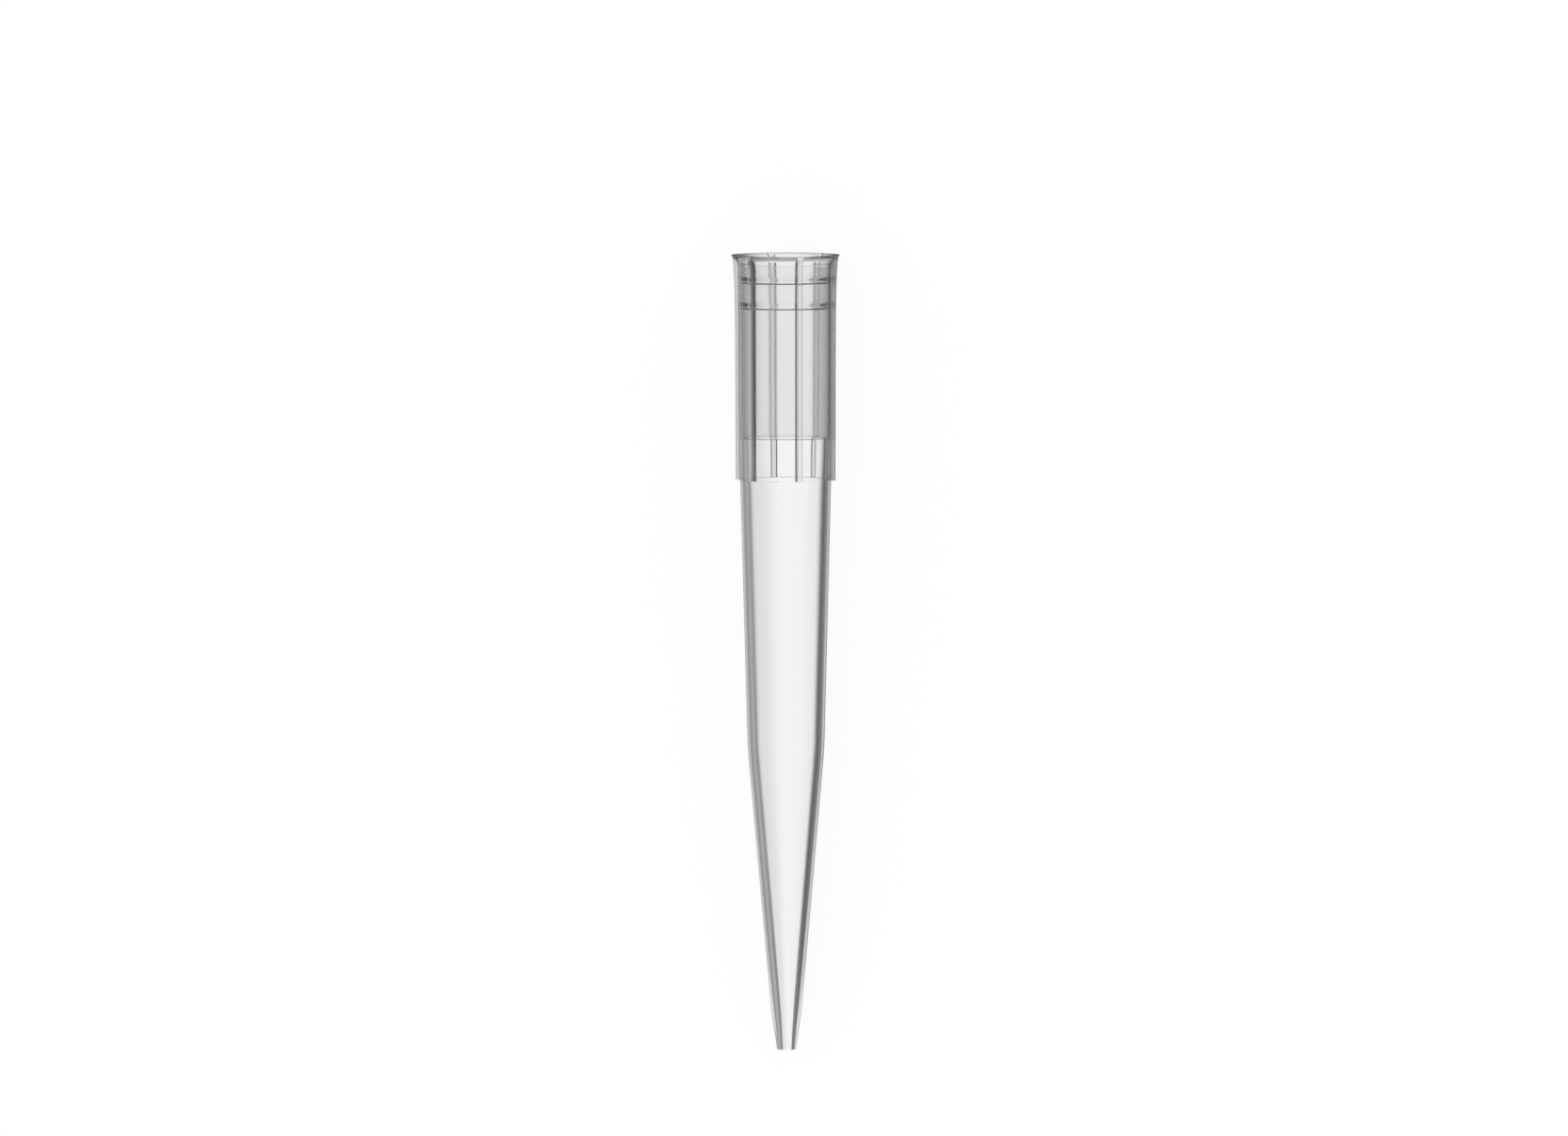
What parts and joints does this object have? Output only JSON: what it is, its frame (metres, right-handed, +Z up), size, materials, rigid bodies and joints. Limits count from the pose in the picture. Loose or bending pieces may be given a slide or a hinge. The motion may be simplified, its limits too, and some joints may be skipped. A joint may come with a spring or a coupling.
{
  "type": "pipette tip",
  "caption": "Clear conical plastic pipette tip with a flared rim, a ribbed collar, sealing beads inside its socket and a long fine point.",
  "frame": {"origin": "on the bench surface, at the centre of the footprint of the tip as it lies at rest", "axes": "+Z up from the bench, +Y along the tip towards its rim, +X to the right seen from above with the rim away"},
  "size_m": [0.0098, 0.0718, 0.0098],
  "materials": {
    "clear_plastic": "natural translucent polypropylene, polished outside and in the bore, satin inside the nozzle socket"
  },
  "bodies": {
    "root": {"pipette_tip": "clear_plastic"}
  },
  "joints": []
}
